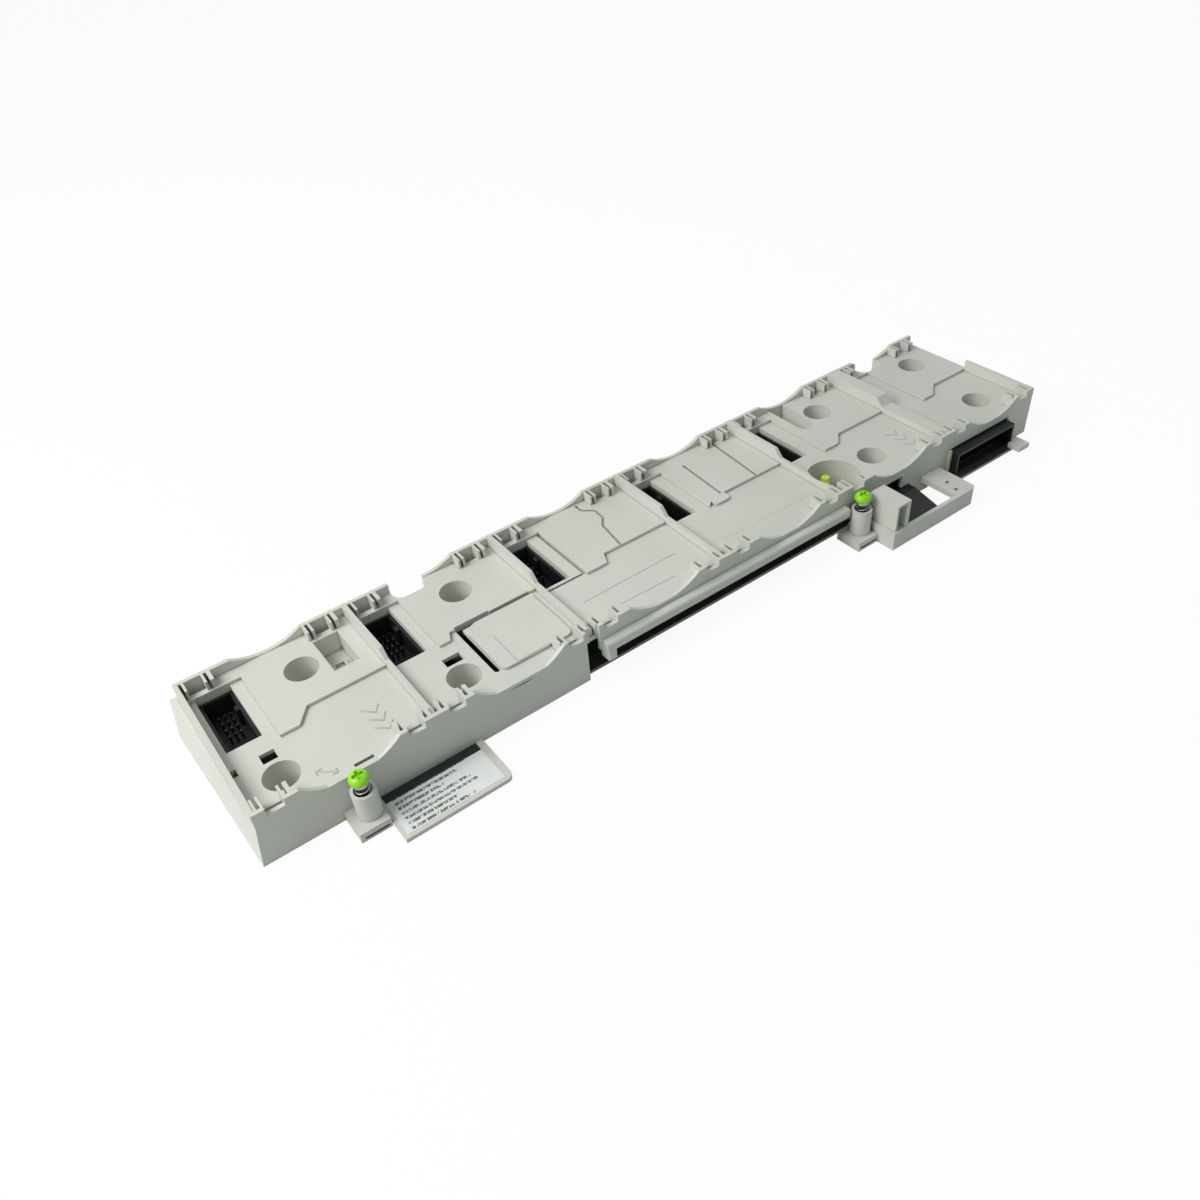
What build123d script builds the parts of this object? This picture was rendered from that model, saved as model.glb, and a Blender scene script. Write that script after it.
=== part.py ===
from build123d import *
import os

# Fan backplane board of a rack server: a long moulded tray with six fan bays
# over a circuit board, with deep connector wells and two captive screws.
# Drawn in millimetres from the left front corner, X along the length, Y to
# the back, Z up, and moved to the middle of its footprint when written.

# Bays along the length
BAYS = 6
FIRST_BAY = 74.0
PITCH = 72.4
LAST_BAY = 66.4

# Walls and floor of the tray
DEPTH = 83.0
WALL = 1.8
WALL_HEIGHT = 26.4
FLOOR_TOP = 20.4
FLOOR = 1.8
REAR_STEP = 1.4
END_WALL_REACH = 42.0

# The left end flares out towards the table, and more at the back
FLARE_FRONT = 2.8
FLARE_REAR = 5.6
FLARE_LEDGE = 3.0
FLARE_TOP = 20.0

# Dividers between the bays
DIVIDER = 1.8
DIVIDER_TOP = 28.0
DIVIDER_FRONT_TOP = 24.0
DIVIDER_KINK = 46.0
DIVIDER_FRONT = 3.0
LAST_DIVIDER = 7.3
LAST_DIVIDER_WALL = 1.8

# Round openings for the fans in the front and rear walls
FAN_RADIUS = 30.0
FAN_SHIFT = 1.2
FRONT_ARC_LOW = (18.6, 18.0, 20.0, 20.0, 20.0, 20.0)
REAR_ARC_RISE = 0.3

# Clip pockets beside the dividers, with their ribs
CLIP_WIDTH = 7.0
CLIP_DEPTH = 3.8
CLIP_FRONT_INSET = 5.3
CLIP_REAR_LEFT_INSET = 4.0
CLIP_REAR_RIGHT_INSET = 9.0
LIP_TOP = 23.2
RIB = 1.0
RIB_GAP = 1.3
RIB_REACH = 5.8
POST_WIDTH = 1.6

# Step in the floor of each bay: the ledge beside the connector well, where
# the step turns back and where it meets the rear line, all from the well,
# and how far back its front stretch lies
STEP_REAR = 42.0
STEP_TURNS = (
    (5.0, 13.0, 19.3, 34.2),
    (5.0, 10.0, 12.0, 37.5),
    (6.7, 17.3, 20.2, 35.8),
    (6.7, 7.4, 11.5, 38.3),
    (8.0, 17.0, 23.9, 35.6),
    (8.7, 15.6, 23.8, 35.4),
)
TAB_FIELD = (25.1, 34.6, 36.7)
TAB_FIELD_CORNER = 2.0

# Slots and holes of single bays, from the left of their bay: left, right,
# front and rear
FIRST_BAY_HOLES = ((13.6, 19.6, 25.6, 30.8), (1.8, 4.4, 26.6, 30.4), (39.8, 47.7, 2.4, 3.9))
SECOND_BAY_HOLE = (18.0, 26.0, 25.6, 30.6)

# Raised pad of the second bay and the slots along its left and rear edges
PAD_LEFT = 34.0
PAD_RIGHT_GAP = 4.4
PAD_FRONT = 8.6
PAD_REAR_GAP = 1.6
PAD_CORNER = 3.0
PAD_REAR_CORNER = 7.0
PAD_SLOT = 2.8
PAD_REAR_SLOT = 2.4
PAD_THIN_SLOT = 1.0
PAD_SLOT_END = 48.0

# Square pocket at the rear right of the first bay, with a ring on its bottom
POCKET_RIGHT_GAP = 7.4
POCKET_REAR_GAP = 9.0
POCKET_WIDTH = 11.2
POCKET_LENGTH = 21.6
POCKET_FLOOR = 11.6
POCKET_RING = 6.4
POCKET_RING_WALL = 1.2
POCKET_RING_HEIGHT = 1.4

# Rounded notches in the rear edge of the second and the last bay
NOTCH_BAYS = (1, BAYS - 1)
NOTCH_ACROSS = 29.5
NOTCH = 16.4
NOTCH_CORNER = 5.0

# Wells for the fan connectors, which the last bay doesn't have
CONNECTOR_BAYS = BAYS - 1
WELL_WIDTH = 14.5
WELL_FRONT = 40.0
WELL_REAR_GAP = 8.4
WELL_LEFT = (4.6, 2.0, 1.2, 1.2, 1.2, 1.2)
WELL_WALL = 1.2

# Round wells, from the left of their bay: across, and from the front or rear
ROUND_WELL = 14.4
ROUND_WELL_FLOOR = 5.0
FRONT_WELLS = {0: (16.8, 16.5), 1: (20.6, 17.0), 4: (38.0, 18.2), 5: (44.5, 18.0)}
REAR_WELLS = {0: (45.3, 20.5), 1: (43.8, 19.8), 4: (46.6, 19.4), 5: (47.6, 19.1)}

# Circuit board under the tray
BOARD = 1.6
BOARD_LIFT = 0.8
BOARD_GAP = 0.4

# Screws that hold the board to posts of the tray
SCREW = 2.4
SCREW_HOLE = 2.5
SCREW_HEAD = 5.0
SCREW_HEAD_HEIGHT = 0.7
SCREW_LENGTH = 8.0
POST = 5.4
POST_ACROSS = 31.0
POST_BACK = 47.0

# Fan connector housings and their contacts
FIT = 0.3
HOUSING_WALL = 1.1
HOUSING_TOP = 17.6
HOUSING_FLOOR_TOP = 8.6
KEY = 1.6
KEY_LENGTH = 3.0
KEY_REAR_GAP = 12.0
KEY_DROP = 0.6
CONTACT = 0.8
CONTACT_HOLE = 0.9
CONTACT_TOP = 13.0
CONTACT_TAIL = 0.5
CONTACT_PITCH = 2.4
CONTACT_COLUMNS = 3
CONTACT_ROWS = 4
CONTACTS_MIDDLE = 0.63
CONTACTS_SPREAD = 0.35

# Front wall: where its stretches end and how low each reaches
WALL_BREAK = (142.6, 149.0)
CABLE_GAP = (311.0, 331.5)
HEADER_GAP = (366.5, 411.5)
CABLE_GAP_TOP = 16.2
HEADER_GAP_TOP = 16.4
HEADER_RIB = 1.5

# Rail in front of the two middle bays
RAIL_LEFT = 150.0
RAIL_RIGHT = 291.0
RAIL_DEPTH = 4.2
RAIL_BOTTOM = 13.2
RAIL_HEIGHT = 5.0
RAIL_HOOK_BOTTOM = 9.2
RAIL_HOOK = 4.4

# Captive screws in front, with bosses on feet
BOSS_PLACES = {"left": 37.8, "right": 296.3}
BOSS_FORWARD = 6.2
BOSS = 9.6
BOSS_BORE = 7.2
BOSS_TOP = 17.5
SHOULDER_TOP = 6.5
SHOULDER = 1.5
SHANK = 3.0
SHANK_HOLE = 3.8
FOOT_LEFT = 8.0
FOOT_RIGHT = 4.6
FOOT_REACH = 13.6
FOOT_HEIGHT = 4.6
RING_POCKET = 6.6
RING = 5.6
RING_HEIGHT = 0.7
RING_GROOVE = 0.4
CAP = 8.2
CAP_BOTTOM = 22.2
CAP_HEIGHT = 3.3
CAP_BEVEL = 0.9
CROSS_WIDTH = 1.1
CROSS_LENGTH = 4.4
CROSS_DEPTH = 1.2
WASHER = 7.0
WASHER_HEIGHT = 0.5
SHANK_IN_CAP = 2.0
SHANK_TIP = 0.6
RUNNING = 0.05
SPRING = 6.0
SPRING_WIRE = 0.6
SPRING_PITCH = 3.0

# Label tab in front of the first bays
TAB_LEFT = 42.8
TAB_RIGHT = 89.4
TAB_REACH = 24.0
TAB = 2.0
TAB_CORNER = 3.0
LABEL_MARGIN = 1.6
LABEL = 0.15

# Bracket frame in front of the fifth bay
BRACKET_LEFT = 300.8
BRACKET_RIGHT = 359.0
BRACKET_REACH = 23.2
BRACKET_HEIGHT = 9.4
BRACKET_BEAM = 2.0
BRACKET_PLATE = 13.0
BRACKET_PLATE_HEIGHT = 3.0
BRACKET_CORNER = 3.0
SLOT_SIZE = (2.2, 1.6)
SLOT_PLACES = ((4.6, 12.4), (3.0, 19.0))
TONGUE = 5.6
BLOCK_INSET = 1.4
BLOCK_WIDTH = 8.8
BLOCK_FRONT = 22.0
BLOCK_REAR = 5.4
BLOCK_TOP = 23.5
BLOCK_RECESS = 5.2
BLOCK_WALL = 1.1
LUG_LEFT = 408.0
LUG_RIGHT = 416.0
LUG_REACH = 12.5
LUG_HEIGHT = 5.0

# Connector inside the bracket frame
PLUG_LEFT = 313.4
PLUG_RIGHT = 337.4
PLUG_BEAM_GAP = 0.8
PLUG_REAR = 7.6
PLUG_HEIGHT = 6.6
PLUG_LIP = 2.6
PLUG_BEND = 4.0
PLUG_CONTACTS = 12
PLUG_CONTACT = 0.8
PLUG_MARGIN = 2.5
PLUG_SLOT = 1.2
PLUG_SLOT_SIDE = 1.5
PLUG_SLOT_DEPTH = 8.0

# Header connector of the last bay
HEADER_FRONT = 5.0
HEADER_REAR = 8.4
HEADER_HEIGHT = 12.6
HEADER_WALL = 1.2
HEADER_CAVITY = 9.0
HEADER_CONTACTS = 18
HEADER_ROW_GAP = 5.0
HEADER_MARGIN = 3.0
HEADER_PIN = 0.7
HEADER_PIN_REACH = 6.0

# Board tongues that reach out in front
SIDE_TONGUE_REACH = 20.0
HEADER_TONGUE_REACH = 7.4
HEADER_TONGUE_RIGHT = 415.0

# Status lamp in the round cut-out of the fifth bay
LAMP_BAY = 4
CUTOUT_ACROSS = 12.3
CUTOUT_BACK = 18.5
CUTOUT_RADIUS = 13.0
LAMP = 4.0
LAMP_TOP = 16.0
LAMP_SHIFT = (0.5, 5.8)

# Rounded trough at the rear of the fifth bay
TROUGH_LEFT = 28.8
TROUGH_WIDTH = 9.8
TROUGH_LENGTH = 28.0
TROUGH_FLOOR = 12.0
TROUGH_END_FLAT = 0.1

# Grooves between the moulded fields of the floor: the winding one of the
# third bay, from the left of the bay and from the rear, and two straight ones
GROOVE = 1.2
GROOVE_DEPTH = 1.0
WINDING_GROOVE = ((47.3, 3.0), (47.1, 7.7), (52.1, 12.2), (51.6, 19.2), (47.9, 24.2))
WINDING_GROOVE_END = 45.4
WINDING_GROOVE_BEND = 2.0
FOURTH_BAY_GROOVE = (34.8, 10.9, 32.9)
FOURTH_BAY_LONG_GROOVE = (58.9, 1.8, 55.6)
FRAME_GROOVE_GAP = 1.6

LENGTH = FIRST_BAY + (BAYS - 2) * PITCH + LAST_BAY
FLOOR_BOTTOM = FLOOR_TOP - FLOOR
REAR_TOP = FLOOR_TOP + REAR_STEP
BOARD_TOP = BOARD_LIFT + BOARD
WELL_REAR = DEPTH - WELL_REAR_GAP
PLUG_FRONT = BRACKET_REACH - BRACKET_BEAM - PLUG_BEAM_GAP
CENTRE = Pos((FLARE_REAR - LENGTH) / 2, (TAB_REACH - DEPTH) / 2, 0)


def block(x0, x1, y0, y1, z0, z1):
    """A plain block between two corners."""
    middle = Pos((x0 + x1) / 2, (y0 + y1) / 2, (z0 + z1) / 2)
    return middle * Box(x1 - x0, y1 - y0, z1 - z0)


def rect(x0, x1, y0, y1):
    """A flat rectangle between two corners."""
    return Pos((x0 + x1) / 2, (y0 + y1) / 2) * Rectangle(x1 - x0, y1 - y0)


def rise(flat, z0, z1):
    """A flat outline raised from one height to another."""
    return Pos(0, 0, z0) * extrude(flat, z1 - z0)


def stand(flat, y0, y1):
    """An outline drawn in X and Z, thick from y0 to y1."""
    return Pos(0, y1, 0) * extrude(Plane.XZ * flat, y1 - y0)


def side(flat, x0, x1):
    """An outline drawn in Y and Z, thick from x0 to x1."""
    return Pos(x0, 0, 0) * extrude(Plane.YZ * flat, x1 - x0)


def bay_left(bay):
    """Where a bay starts: the end of the tray or the middle of a divider."""
    return 0.0 if bay == 0 else FIRST_BAY + (bay - 1) * PITCH


def bay_right(bay):
    """Where a bay ends."""
    return LENGTH if bay == BAYS - 1 else bay_left(bay + 1)


def per_bay(values, bay):
    """The value of a bay, or the last one for a bay past the list."""
    return values[min(bay, len(values) - 1)]


def well_left(bay):
    """Left edge of a bay's connector well."""
    return bay_left(bay) + per_bay(WELL_LEFT, bay)


def well_right(bay):
    """Right edge of a bay's connector well."""
    return well_left(bay) + WELL_WIDTH


def round_wells():
    """Centres of all round wells."""
    places = []
    for bay in range(BAYS):
        if bay in FRONT_WELLS:
            across, back = FRONT_WELLS[bay]
            places.append((bay_left(bay) + across, back))
        if bay in REAR_WELLS:
            across, ahead = REAR_WELLS[bay]
            places.append((bay_left(bay) + across, DEPTH - ahead))
    return places


def post_places():
    """Centres of the posts that the board is screwed to, one in each bay."""
    return [(bay_left(bay) + POST_ACROSS, POST_BACK) for bay in range(BAYS)]


def clip_spans(bay):
    """Left edges of a bay's clip pockets, in front and behind."""
    left = bay_left(bay)
    right = bay_right(bay)
    front = (left + CLIP_FRONT_INSET, right - CLIP_FRONT_INSET - CLIP_WIDTH)
    rear = (left + CLIP_REAR_LEFT_INSET, right - CLIP_REAR_RIGHT_INSET - CLIP_WIDTH)
    return front, rear


def fan_arc(bay, low):
    """The circle that a fan's opening cuts from a wall, drawn in X and Z."""
    middle = (bay_left(bay) + bay_right(bay)) / 2 + FAN_SHIFT
    return Pos(middle, low + FAN_RADIUS) * Circle(FAN_RADIUS)


def front_wall():
    """The front wall, cut to its fan openings, lips and lower gaps."""
    gap_left, gap_right = WALL_BREAK
    flat = rect(0, gap_left, 0, WALL_HEIGHT)
    flat += rect(gap_right, CABLE_GAP[0], RAIL_BOTTOM, WALL_HEIGHT)
    flat += rect(CABLE_GAP[0], CABLE_GAP[1], CABLE_GAP_TOP, WALL_HEIGHT)
    flat += rect(CABLE_GAP[1], HEADER_GAP[0], 0, WALL_HEIGHT)
    flat += rect(HEADER_GAP[0], HEADER_GAP[1], HEADER_GAP_TOP, WALL_HEIGHT)
    flat += rect(HEADER_GAP[1], LENGTH, 0, WALL_HEIGHT)
    cuts = []
    for bay in range(BAYS):
        cuts.append(fan_arc(bay, per_bay(FRONT_ARC_LOW, bay)))
        for x in clip_spans(bay)[0]:
            cuts.append(rect(x, x + CLIP_WIDTH, LIP_TOP, WALL_HEIGHT))
    plug_top = BOARD_TOP + PLUG_HEIGHT + BOARD_GAP
    cuts.append(rect(CABLE_GAP[1], PLUG_RIGHT + BOARD_GAP, 0, plug_top))
    tongue_left = BRACKET_RIGHT - TONGUE
    cuts.append(rect(tongue_left - BOARD_GAP, HEADER_GAP[0], 0, BOARD_TOP))
    cuts.append(rect(HEADER_GAP[1], HEADER_TONGUE_RIGHT + BOARD_GAP, 0, BOARD_TOP))
    return stand(flat - cuts, 0, WALL)


def rear_wall():
    """The rear wall with a shallow arc behind each fan."""
    flat = rect(0, LENGTH, 0, WALL_HEIGHT)
    flat -= [fan_arc(bay, REAR_TOP + REAR_ARC_RISE) for bay in range(BAYS)]
    return stand(flat, DEPTH - WALL, DEPTH)


def end_walls():
    """The end walls; the right one drops to the floor behind its front half."""
    left = block(0, WALL, 0, DEPTH, 0, WALL_HEIGHT)
    low = rect(0, DEPTH, 0, REAR_TOP)
    high = rect(0, END_WALL_REACH, 0, WALL_HEIGHT)
    return [left, side(low + high, LENGTH - WALL, LENGTH)]


def flare(inset, top):
    """The leaning block outside the left end wall, or its hollow."""
    right = WALL + inset / 2
    low = Polygon(
        (inset - FLARE_FRONT, inset), (right, inset), (right, DEPTH - inset),
        (inset - FLARE_REAR, DEPTH - inset), align=None,
    )
    high = Polygon(
        (inset, inset), (right, inset), (right, DEPTH - inset),
        (inset - FLARE_LEDGE, DEPTH - inset), align=None,
    )
    return loft([low, Pos(0, 0, top) * high])


def divider(bay):
    """The divider on a bay's left, lower in front, with a kink in its crest.

    The last one is thick and hollow from below.
    """
    profile = Polygon(
        (DIVIDER_FRONT, FLOOR_BOTTOM),
        (DEPTH - WALL, FLOOR_BOTTOM),
        (DEPTH - WALL, DIVIDER_TOP),
        (DIVIDER_KINK, DIVIDER_TOP),
        (DIVIDER_KINK - (DIVIDER_TOP - DIVIDER_FRONT_TOP), DIVIDER_FRONT_TOP),
        (DIVIDER_FRONT, DIVIDER_FRONT_TOP),
        align=None,
    )
    left = bay_left(bay) - DIVIDER / 2
    if bay < BAYS - 1:
        return side(profile, left, left + DIVIDER)
    right = left + LAST_DIVIDER
    hollow = block(
        left + LAST_DIVIDER_WALL, right - LAST_DIVIDER_WALL,
        DIVIDER_FRONT + LAST_DIVIDER_WALL, DEPTH - WALL - LAST_DIVIDER_WALL,
        0, DIVIDER_FRONT_TOP - LAST_DIVIDER_WALL,
    )
    return side(profile, left, right) - hollow


def raised_field(bay):
    """Outline of the raised rear floor of a bay."""
    *turns, step_front = per_bay(STEP_TURNS, bay)
    ledge, toe, heel = (well_right(bay) + turn for turn in turns)
    left = bay_left(bay)
    right = bay_right(bay)
    return Polygon(
        (ledge, step_front),
        (toe, step_front),
        (heel, STEP_REAR),
        (right, STEP_REAR),
        (right, DEPTH),
        (left, DEPTH),
        (left, WELL_REAR),
        (ledge, WELL_REAR),
        align=None,
    )


def clip_holes():
    """Holes in the floor for the clips of the fans."""
    holes = []
    for bay in range(BAYS):
        front, rear = clip_spans(bay)
        for x in front:
            holes.append(rect(x, x + CLIP_WIDTH, WALL, WALL + CLIP_DEPTH))
        for x in rear:
            y = DEPTH - WALL - CLIP_DEPTH
            holes.append(rect(x, x + CLIP_WIDTH, y, y + CLIP_DEPTH))
    return holes


def clip_ribs():
    """Thin upright ribs on both sides of every clip pocket."""
    flat = []
    for bay in range(BAYS):
        front, rear = clip_spans(bay)
        for starts, y0, y1 in (
            (front, WALL, WALL + RIB_REACH),
            (rear, DEPTH - WALL - RIB_REACH, DEPTH - WALL),
        ):
            for x in starts:
                for rib in (x - RIB, x - 2 * RIB - RIB_GAP, x + CLIP_WIDTH):
                    flat.append(rect(rib, rib + RIB, y0, y1))
                post = x + CLIP_WIDTH + RIB + RIB_GAP
                flat.append(rect(post, post + POST_WIDTH, y0, y1))
    return rise(Sketch() + flat, FLOOR_BOTTOM, WALL_HEIGHT)


def cutout_circle(radius):
    """The round cut-out beside the fourth divider."""
    return Pos(bay_left(LAMP_BAY) + CUTOUT_ACROSS, CUTOUT_BACK) * Circle(radius)


def small_holes():
    """Slots, latch holes and pockets that only some bays have."""
    holes = [rect(*sides) for sides in FIRST_BAY_HOLES]
    left, right, front, rear = SECOND_BAY_HOLE
    holes.append(rect(bay_left(1) + left, bay_left(1) + right, front, rear))
    return holes + pad_slots()


def pad_slots():
    """The slot left of the second bay's pad, round in front, and two behind it."""
    start = bay_left(1)
    slot_right = start + PAD_LEFT
    slot_left = slot_right - PAD_SLOT
    front = PAD_FRONT + PAD_CORNER
    middle = (slot_left + slot_right) / 2
    wide = PAD_REAR_SLOT / 2
    thin = PAD_THIN_SLOT / 2
    return [
        rect(slot_left, slot_right, front, STEP_REAR + wide),
        Pos(middle, front) * Circle(PAD_SLOT / 2),
        rect(slot_left, start + PAD_SLOT_END, STEP_REAR - wide, STEP_REAR + wide),
        rect(start + PAD_SLOT_END, bay_right(1) - PAD_RIGHT_GAP, STEP_REAR - thin, STEP_REAR + thin),
    ]


def pad():
    """The raised pad of the second bay, with its round rear left corner."""
    left = bay_left(1) + PAD_LEFT
    flat = rect(left, bay_right(1) - PAD_RIGHT_GAP, PAD_FRONT, STEP_REAR - PAD_REAR_GAP)
    corners = flat.vertices().group_by(Axis.Y)
    rear_left = corners[-1].sort_by(Axis.X)[0]
    flat = fillet(rear_left, PAD_REAR_CORNER)
    flat = fillet(flat.vertices().group_by(Axis.Y)[0], PAD_CORNER)
    return flat


def pocket_outline(grow=0.0):
    """The square deep pocket at the rear right of the first bay."""
    right = bay_right(0) - POCKET_RIGHT_GAP
    left = right - POCKET_WIDTH
    rear = DEPTH - POCKET_REAR_GAP
    return rect(left - grow, right + grow, rear - POCKET_LENGTH - grow, rear + grow)


def pocket():
    """Walls and bottom of the deep pocket, with the low square ring in it."""
    cup = rise(pocket_outline(WELL_WALL), POCKET_FLOOR - WELL_WALL, FLOOR_TOP)
    cup -= rise(pocket_outline(), POCKET_FLOOR, FLOOR_TOP)
    inside = POCKET_RING - 2 * POCKET_RING_WALL
    ring = Rectangle(POCKET_RING, POCKET_RING) - Rectangle(inside, inside)
    middle = pocket_outline().center()
    place = Pos(middle.X, middle.Y)
    return cup + rise(place * ring, POCKET_FLOOR, POCKET_FLOOR + POCKET_RING_HEIGHT)


def trough_outline(grow=0.0):
    """The long trough with a round front end in the fifth bay."""
    left = bay_left(LAMP_BAY) + TROUGH_LEFT - grow
    right = left + TROUGH_WIDTH + 2 * grow
    front = DEPTH - TROUGH_LENGTH - grow
    radius = TROUGH_WIDTH / 2 + grow - TROUGH_END_FLAT
    flat = rect(left, right, front, DEPTH - WALL)
    return fillet(flat.vertices().group_by(Axis.Y)[0], radius)


def well_outline(bay, grow=0.0):
    """The opening of a connector well, or its outside."""
    x0, x1 = well_left(bay) - grow, well_right(bay) + grow
    return rect(x0, x1, WELL_FRONT - grow, WELL_REAR + grow)


def floor_openings():
    """Everything that goes right through the floor."""
    holes = clip_holes() + small_holes()
    holes += [well_outline(bay) for bay in range(CONNECTOR_BAYS)]
    holes += [Pos(x, y) * Circle(ROUND_WELL / 2) for x, y in round_wells()]
    holes += [pocket_outline(), trough_outline(), cutout_circle(CUTOUT_RADIUS)]
    holes.append(rect(*WALL_BREAK, 0, WALL + BOARD_GAP))
    return holes


def floor():
    """The floor, its raised rear fields and the rounded pad of bay two."""
    openings = Sketch() + floor_openings()
    plain = rise(rect(0, LENGTH, 0, DEPTH) - openings, FLOOR_BOTTOM, FLOOR_TOP)
    left, right, front = TAB_FIELD
    tab = rect(bay_left(3) + left, bay_left(3) + right, front, STEP_REAR)
    tab = fillet(tab.vertices().group_by(Axis.Y)[0], TAB_FIELD_CORNER)
    fields = Sketch() + [raised_field(bay) for bay in range(BAYS)] + [tab]
    raised = rise(fields - openings, FLOOR_BOTTOM, REAR_TOP)
    return [plain, raised, rise(pad(), FLOOR_BOTTOM, REAR_TOP)]


def well_tubes():
    """Walls under the floor round the wells, pockets and cut-out."""
    low = BOARD_TOP + FIT
    tubes = []
    for bay in range(CONNECTOR_BAYS):
        ring = well_outline(bay, WELL_WALL) - well_outline(bay)
        tubes.append(rise(ring, low, FLOOR_TOP))
    for x, y in round_wells():
        outside = Pos(x, y) * Circle(ROUND_WELL / 2 + WELL_WALL)
        cup = rise(outside, ROUND_WELL_FLOOR - WELL_WALL, FLOOR_TOP)
        cup -= Pos(x, y) * rise(Circle(ROUND_WELL / 2), ROUND_WELL_FLOOR, FLOOR_TOP)
        tubes.append(cup)
    ring = cutout_circle(CUTOUT_RADIUS + WELL_WALL) - cutout_circle(CUTOUT_RADIUS)
    tubes.append(rise(ring, low, FLOOR_TOP))
    tubes.append(pocket())
    trough = rise(trough_outline(WELL_WALL), TROUGH_FLOOR - WELL_WALL, FLOOR_TOP)
    tubes.append(trough - rise(trough_outline(), TROUGH_FLOOR, FLOOR_TOP))
    return tubes


def board_posts():
    """Posts that hold the board, with pilot holes from below."""
    posts = []
    for x, y in post_places():
        ring = Circle(POST / 2) - Circle(SCREW_HOLE / 2)
        posts.append(Pos(x, y) * rise(ring, BOARD_TOP, FLOOR_BOTTOM))
    return posts


def header_ribs():
    """Upright ribs on the front wall, left and right of the header."""
    left, right = HEADER_GAP
    return [
        block(left - HEADER_RIB, left, -HEADER_RIB, 0, BOARD_TOP, CABLE_GAP_TOP),
        block(right, right + HEADER_RIB, -HEADER_RIB, 0, LUG_HEIGHT, CABLE_GAP_TOP),
    ]


def rail():
    """The rounded rail in front, with a hook at its left end."""
    top = RAIL_BOTTOM + RAIL_HEIGHT
    bar = block(RAIL_LEFT, RAIL_RIGHT, -RAIL_DEPTH, 0, RAIL_BOTTOM, top)
    bar = fillet(bar.edges().filter_by(Axis.X).group_by(Axis.Y)[0], RAIL_DEPTH / 3)
    hook = block(
        RAIL_LEFT, RAIL_LEFT + RAIL_HOOK, -RAIL_DEPTH, WALL, RAIL_HOOK_BOTTOM, top - RAIL_DEPTH / 3
    )
    hook = fillet(hook.edges().filter_by(Axis.Z), WALL / 2)
    return [bar, hook]


def boss_and_foot(name):
    """Foot and hollow boss of a captive screw."""
    x = BOSS_PLACES[name]
    place = Pos(x, -BOSS_FORWARD, 0)
    foot = block(x - FOOT_LEFT, x + FOOT_RIGHT, -FOOT_REACH, 0, 0, FOOT_HEIGHT)
    boss = place * rise(Circle(BOSS / 2), 0, BOSS_TOP)
    web = block(x - WALL / 2, x + WALL / 2, -BOSS_FORWARD, 0, 0, SHOULDER_TOP)
    cuts = [
        place * rise(Circle(BOSS_BORE / 2), SHOULDER_TOP, BOSS_TOP),
        place * rise(Circle(SHANK_HOLE / 2), 0, BOSS_TOP),
        place * rise(Circle(RING_POCKET / 2), 0, SHOULDER_TOP - SHOULDER),
    ]
    return [foot, boss, web], cuts


def label_tab():
    """Flat tab in front that carries the label."""
    flat = rect(TAB_LEFT, TAB_RIGHT, -TAB_REACH, 0)
    corner = flat.vertices().sort_by(Axis.Y)[:2].sort_by(Axis.X)[-1]
    return rise(fillet(corner, TAB_CORNER), 0, TAB)


def bracket():
    """The open bracket frame with its tall hollow block."""
    flat = rect(BRACKET_LEFT, BRACKET_RIGHT, -BRACKET_REACH, 0)
    corners = flat.vertices().sort_by(Axis.Y)[:2]
    flat = fillet(corners.sort_by(Axis.X)[-1], BRACKET_CORNER)
    plate_left = BRACKET_RIGHT - BRACKET_PLATE
    side_width = BLOCK_INSET + BLOCK_WIDTH + BLOCK_WALL
    window = rect(
        BRACKET_LEFT + side_width, BRACKET_RIGHT - WALL, BRACKET_BEAM - BRACKET_REACH, 0
    )
    frame = rise(flat - window, 0, BRACKET_HEIGHT)
    plate = block(
        plate_left, BRACKET_RIGHT, -BRACKET_REACH + BRACKET_BEAM, 0,
        BRACKET_HEIGHT - BRACKET_PLATE_HEIGHT, BRACKET_HEIGHT,
    )
    tower_left = BRACKET_LEFT + BLOCK_INSET
    tower = block(
        tower_left, tower_left + BLOCK_WIDTH, -BLOCK_FRONT, -BLOCK_REAR, 0, BLOCK_TOP
    )
    recess_left = tower_left + BLOCK_WALL
    recess = block(
        recess_left, recess_left + BLOCK_RECESS, -BRACKET_REACH, -BLOCK_REAR - BLOCK_WALL,
        BRACKET_HEIGHT, BLOCK_TOP - BLOCK_WALL,
    )
    slots = []
    for across, ahead in SLOT_PLACES:
        x = plate_left + across
        slots.append(block(x, x + SLOT_SIZE[0], -ahead, SLOT_SIZE[1] - ahead, 0, BRACKET_HEIGHT))
    tongue_left = BRACKET_RIGHT - TONGUE
    tongue = block(
        tongue_left - BOARD_GAP, BRACKET_RIGHT, -SIDE_TONGUE_REACH - BOARD_GAP, 0,
        0, BOARD_TOP,
    )
    return [frame, plate, tower], [recess, tongue] + slots


def lug():
    """Small lug in front of the header connector, joined to the wall beside it."""
    front = rect(LUG_LEFT, LUG_RIGHT, -LUG_REACH, -HEADER_FRONT - BOARD_GAP)
    neck = rect(HEADER_GAP[1], LUG_RIGHT, -LUG_REACH, 0)
    return rise(front + neck, BOARD_TOP, LUG_HEIGHT)


def notch_outline(bay, grow=0.0):
    """The rounded square that a notch takes from the rear edge."""
    size = NOTCH + 2 * grow
    return Pos(bay_left(bay) + NOTCH_ACROSS, DEPTH) * RectangleRounded(size, size, NOTCH_CORNER + grow)


def rear_notches():
    """Rounded notches in the rear edge of the second and the last bay."""
    return [rise(notch_outline(bay), 0, DIVIDER_TOP) for bay in NOTCH_BAYS]


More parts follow.
